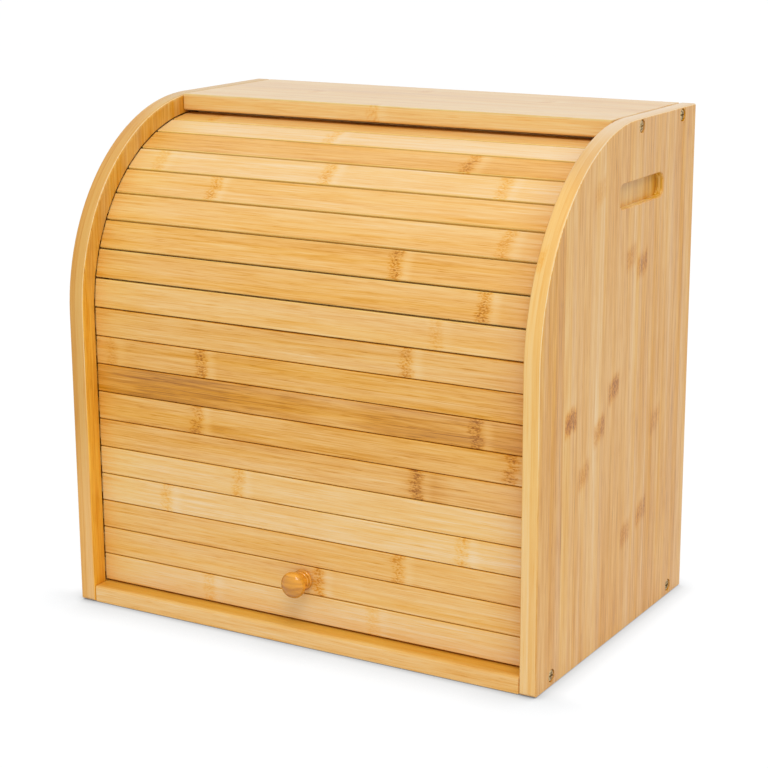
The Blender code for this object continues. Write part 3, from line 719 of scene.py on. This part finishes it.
def inner_face(start, end):
    """A side panel's face towards the door, in front of the slats: 0 at Z = start, 1 at end."""
    def inside(tree, x, y, z):
        edge = edge_place(tree, x, y, z)
        return product(tree, calc(tree, "LESS_THAN", calc(tree, "ABSOLUTE", x), INNER_FACE),
                       smooth_range(tree, edge.into, *INNER_DEPTH),
                       smooth_range(tree, z, start, end))
    return inside


def arris_highlight(start):
    """The corner of a side panel's curved edge past X = start, where a highlight is painted."""
    def inside(tree, x, y, z):
        edge = edge_place(tree, x, y, z)
        return product(tree, calc(tree, "GREATER_THAN", x, start),
                       calc(tree, "LESS_THAN", edge.into, ARRIS_WIDTH),
                       smooth_range(tree, z, *ARRIS_LEVELS))
    return inside


def curved_edge(tree, x, y, z):
    """A side panel's edge from the start of its curve upwards."""
    return product(tree, edge_place(tree, x, y, z).here, smooth_range(tree, z, *CURVE_LEVELS))


def top_edge(start, end):
    """A side panel's edge at the end of its curve, where a sheen is painted: 0 up to the angle
    start, 1 from end on.
    """
    def inside(tree, x, y, z):
        edge = edge_place(tree, x, y, z)
        return product(tree, edge.here, smooth_range(
            tree, edge.along, CURVE_Z + CURVE_RADIUS * start, CURVE_Z + CURVE_RADIUS * end))
    return inside


def in_pocket(tree, x, y, z):
    """The finger pocket's walls and floor."""
    inside = calc(tree, "LESS_THAN", calc(tree, "ABSOLUTE", x), POCKET_MOUTH)
    for value, (low, high) in ((y, POCKET_Y), (z, POCKET_Z)):
        inside = product(tree, inside, calc(tree, "GREATER_THAN", value, low),
                         calc(tree, "LESS_THAN", value, high))
    return inside


def pocket_walls(tree, x, y, z):
    return product(tree, in_pocket(tree, x, y, z),
                   calc(tree, "GREATER_THAN", calc(tree, "ABSOLUTE", x), POCKET_FLOOR))


def pocket_shade(tree, x, y, z):
    """The shade on the pocket's floor under its upper lip."""
    floor = calc(tree, "SUBTRACT", in_pocket(tree, x, y, z), pocket_walls(tree, x, y, z))
    return product(tree, floor, smooth_range(tree, z, *POCKET_SHADE))


# The CAD nodes

def smooth_group():
    """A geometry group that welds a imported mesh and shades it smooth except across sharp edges."""
    group = bpy.data.node_groups.new("smooth_by_angle", "GeometryNodeTree")
    group.is_modifier = True
    for direction in ("INPUT", "OUTPUT"):
        group.interface.new_socket("Geometry", in_out=direction,
                                   socket_type="NodeSocketGeometry")
    given, result = group.nodes.new("NodeGroupInput"), group.nodes.new("NodeGroupOutput")
    weld = add_node(group, "GeometryNodeMergeByDistance",
                    {"Geometry": given.outputs[0], "Distance": WELD})
    plain = add_node(group, "GeometryNodeRemoveAttribute",
                     {"Geometry": weld.outputs[0], "Name": "custom_normal"})
    faces = add_node(group, "GeometryNodeSetShadeSmooth",
                     {"Geometry": plain.outputs[0], "Shade Smooth": True})
    angle = add_node(group, "GeometryNodeInputMeshEdgeAngle").outputs[0]
    sharp = add_node(group, "FunctionNodeCompare", (angle, SMOOTH_ANGLE),
                     operation="GREATER_THAN").outputs[0]
    edges = add_node(group, "GeometryNodeSetShadeSmooth", {
        "Geometry": faces.outputs[0], "Selection": sharp, "Shade Smooth": False}, domain="EDGE")
    fill_inputs(group, result, (edges.outputs[0],))
    return group


SMOOTH = smooth_group()


def dress(node, material):
    """Gives a CAD node its material and smooth shading."""
    obj = NODES[node]
    for slot in obj.material_slots:
        slot.material = material
    obj.modifiers.new("smooth", "NODES").node_group = SMOOTH
    obj.modifiers.new("flat_faces_stay_flat", "WEIGHTED_NORMAL").keep_sharp = True


def in_metres(knots):
    return [(along * MM, across * MM, strength) for along, across, strength in knots]


def slat_frame(node):
    """(centre, tilt) of a slat. Its widest face gives the tilt, which is 0 where it is upright."""
    mesh = NODES[node].data
    low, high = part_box(node)
    front = max((face for face in mesh.polygons if face.normal.y < 0 or face.normal.z > 0.5),
                key=lambda face: face.area)
    return (low + high) / 2, math.atan2(front.normal.z, -front.normal.y)


def dress_slats():
    for number, (tone, knots) in SLATS.items():
        node = f"slat_{number:02d}"
        centre, tilt = slat_frame(node)
        tones = [(stretch(x * MM, half * MM), extra)
                 for x, half, extra in STRETCHES.get(number, ())]
        if tilt > 0:
            tones.append((slat_side, CURVE_SIDE_TONE))
        if number == GAP_SLAT:
            tones.append((beside_gap, GAP_TONE))
        # The right ends' tint is a painted shadow, and the left ends' tint is painted warm reflected
        # light
        tints = ((slat_side, SLAT_SIDE_TINT), (shadowed_right_end, SLAT_RIGHT_SHADOW_TINT),
                 (bounce_lit_left_end, SLAT_LEFT_BOUNCE_TINT))
        dress(node, bamboo(
            node, "XZY", SLAT_SEED_STEP * number, tone=tone, strip=ONE_STRIP, spread=0.0,
            drift=SLAT_DRIFT, knots=in_metres((x, 0, strength) for x, strength in knots),
            turn=tilt, centre=centre, tones=tones, tints=tints))


def dress_panels():
    for node, panel in PANELS.items():
        tints = (
            # Painted light in the pocket, and painted shade under its lip
            (in_pocket, POCKET_LIGHT_TINT),
            (pocket_walls, POCKET_WALL_LIGHT_TINT),
            (pocket_shade, POCKET_SHADE_TINT),
            # Painted warm light reflected from the slats onto the inner faces
            (inner_face(*INNER_FADES), INNER_BOUNCE_TINT),
            (inner_face(*reversed(INNER_FADES)), INNER_CURVE_TINT),
            (curved_edge, panel["curve_tint"]),
            # Painted sheen of the white surround where the edge faces up
            (top_edge(*panel["top"]), panel["top_sheen_tint"]),
        )
        dress(node, bamboo(
            node, "ZYX", panel["seed"], **PANEL_LOOK, knots=in_metres(panel["knots"]),
            knot_look=PANEL_KNOTS, edge_tone=panel["edge_tone"],
            # A painted highlight along the edge's lit corner
            tones=((arris_highlight(panel["arris"]), ARRIS_HIGHLIGHT_TONE),), tints=tints))


def dress_boards():
    extras = {
        "top_board": {
            "knots": in_metres(TOP_KNOTS),
            "tones": ((top_front, TOP_FRONT_TONE),),
            "tints": ((top_front, TOP_FRONT_TINT), (top_upper, TOP_UPPER_TINT)),
        },
        # The sill's tint is painted shade beside the door
        "bottom_board": {"tints": ((shaded_beside_door, SILL_SHADE_TINT),)},
    }
    for node, look in BOARDS.items():
        dress(node, bamboo(node, **look, **extras.get(node, {})))


def dress_fittings():
    brass = dark_brass("dark_brass")
    for node in NODES:
        if "screw" in node:
            dress(node, brass)
    dress("knob", varnished_wood("varnished_wood"))


# The backing cloth, one flat strip on each slat so that it follows its slat

def cut_round_hole(bm, radius, reach):
    """Opens a flat grid round its middle: the faces within reach go, and a ring of faces leads
    from there to the round hole."""
    middle = [face for face in bm.faces
              if all(abs(vert.co.x) < reach.x and abs(vert.co.y) < reach.y for vert in face.verts)]
    rim = [edge for edge in bm.edges if sum(face in middle for face in edge.link_faces) == 1]
    bmesh.ops.delete(bm, geom=middle, context="FACES")
    ring = bmesh.ops.extrude_edge_only(bm, edges=rim)["geom"]
    for vert in (item for item in ring if isinstance(item, bmesh.types.BMVert)):
        vert.co = vert.co.normalized() * radius


def cloth_strip(number, material):
    """A strip of canvas behind a slat, with a slight ripple between the glued rows."""
    node = f"slat_{number:02d}"
    centre, tilt = slat_frame(node)
    length = 2 * (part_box("side_panel_right")[0].x - CLOTH_MARGIN)
    bm = bmesh.new()
    bmesh.ops.create_grid(bm, x_segments=CLOTH_COLUMNS, y_segments=CLOTH_ROWS, size=0.5,
                          matrix=Matrix.Diagonal((length, SLAT_PITCH, 1, 1)))
    if number == KNOB_SLAT:
        cell = Vector((length / CLOTH_COLUMNS, SLAT_PITCH / CLOTH_ROWS))
        cut_round_hole(bm, CLOTH_HOLE, cell * (CLOTH_HOLE_CELLS + 0.5))
    behind = SLAT_THICKNESS / 2 + CLOTH_GAP + CLOTH_THICKNESS / 2
    for vert in bm.verts:
        x, height = vert.co.x, vert.co.y
        ripple = (RIPPLE_HEIGHT * math.sin(x / RIPPLE_LENGTH + number)
                  * math.cos(height / RIPPLE_WIDTH))
        vert.co = (x, behind + ripple, height)
    bm.transform(Matrix.Translation(centre) @ Matrix.Rotation(-tilt, 4, "X"))
    mesh = bpy.data.meshes.new(f"backing_cloth_{number:02d}")
    bm.to_mesh(mesh)
    bm.free()
    mesh.materials.append(material)
    mesh.shade_smooth()
    strip = bpy.data.objects.new(mesh.name, mesh)
    bpy.context.scene.collection.objects.link(strip)
    solid = strip.modifiers.new("thickness", "SOLIDIFY")
    solid.thickness = CLOTH_THICKNESS
    solid.offset = 0
    bodies = frame["record"]["behaviour"]["bodies"]
    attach(strip, next(body for body, nodes in bodies.items() if node in nodes))
    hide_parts("backing_cloth")


# The studio

def make_camera():
    camera = bpy.data.objects.new("camera", bpy.data.cameras.new("camera"))
    bpy.context.scene.collection.objects.link(camera)
    camera.data.lens = CAMERA_LENS
    camera.data.sensor_width = CAMERA_SENSOR
    turn = (Matrix.Rotation(-CAMERA_YAW, 4, "Z")
            @ Matrix.Rotation(math.pi / 2 + CAMERA_PITCH, 4, "X")
            @ Matrix.Rotation(CAMERA_ROLL, 4, "Z"))
    camera.matrix_world = Matrix.Translation(CAMERA_PLACE) @ turn
    bpy.context.scene.camera = camera


def seen_directly(tree):
    """1 for camera, mirror and glass rays, and 0 for the rays that light the object."""
    path = add_node(tree, "ShaderNodeLightPath").outputs
    return calc(tree, "MAXIMUM", path["Is Camera Ray"],
                calc(tree, "MAXIMUM", path["Is Glossy Ray"], path["Is Transmission Ray"]))


def make_surround():
    world = bpy.data.worlds.new("surround")
    bpy.context.scene.world = world
    world.use_nodes = True
    tree = world.node_tree
    strength = calc(tree, "MULTIPLY_ADD", seen_directly(tree), 1 - SURROUND, SURROUND)
    fill_inputs(tree, tree.nodes["Background"], {"Color": (1, 1, 1, 1), "Strength": strength})


def make_lamp():
    light = bpy.data.lights.new("key_lamp", "AREA")
    light.size = LAMP_SIZE
    light.energy = LAMP_POWER
    lamp = bpy.data.objects.new("key_lamp", light)
    bpy.context.scene.collection.objects.link(lamp)
    level = math.cos(LAMP_ELEVATION)
    away = Vector((math.sin(LAMP_AZIMUTH) * level, -math.cos(LAMP_AZIMUTH) * level,
                   math.sin(LAMP_ELEVATION)))
    lamp.location = LAMP_AIM + away * LAMP_DISTANCE
    lamp.rotation_euler = away.to_track_quat("Z", "Y").to_euler()


def floor_material(name):
    """White where it is seen, apart from the object's soft shadow and the shade round its foot."""
    material, tree, shader = new_material(name)
    tree.nodes.remove(shader)
    seen = seen_directly(tree)
    level = calc(tree, "MULTIPLY_ADD", seen, FLOOR_SHADE - FLOOR_BOUNCE, FLOOR_BOUNCE)
    colour = vector_calc(tree, "MULTIPLY", level, FLOOR_TINT)
    diffuse = add_node(tree, "ShaderNodeBsdfDiffuse", (colour,)).outputs[0]
    y = object_place(tree)["Y"]
    lit = FLOOR_GLOW
    for reach, behind, in_front in CONTACT_SHADES:
        openness = add_node(tree, "ShaderNodeAmbientOcclusion", {"Distance": reach},
                            samples=CONTACT_SAMPLES).outputs["AO"]
        depth = smooth_range(tree, y, *CONTACT_FRONT, behind, in_front)
        lit = calc(tree, "SUBTRACT", lit,
                   product(tree, calc(tree, "SUBTRACT", 1.0, openness), depth))
    glow = add_node(tree, "ShaderNodeEmission", {"Strength": product(tree, seen, lit)}).outputs[0]
    both = add_node(tree, "ShaderNodeAddShader", (diffuse, glow)).outputs[0]
    fill_inputs(tree, tree.nodes["Material Output"], {"Surface": both})
    return material


def make_floor():
    mesh = bpy.data.meshes.new("floor")
    bm = bmesh.new()
    bmesh.ops.create_grid(bm, x_segments=1, y_segments=1, size=FLOOR_SIZE / 2)
    bm.to_mesh(mesh)
    bm.free()
    mesh.materials.append(floor_material("floor_white"))
    floor = bpy.data.objects.new("floor", mesh)
    floor.location.z = -FLOOR_DROP
    bpy.context.scene.collection.objects.link(floor)


make_camera()
make_surround()
make_lamp()
make_floor()
dress_slats()
dress_panels()
dress_boards()
dress_fittings()
canvas_material = canvas("canvas")
for slat_number in SLATS:
    cloth_strip(slat_number, canvas_material)
bpy.context.scene.view_settings.view_transform = "Standard"
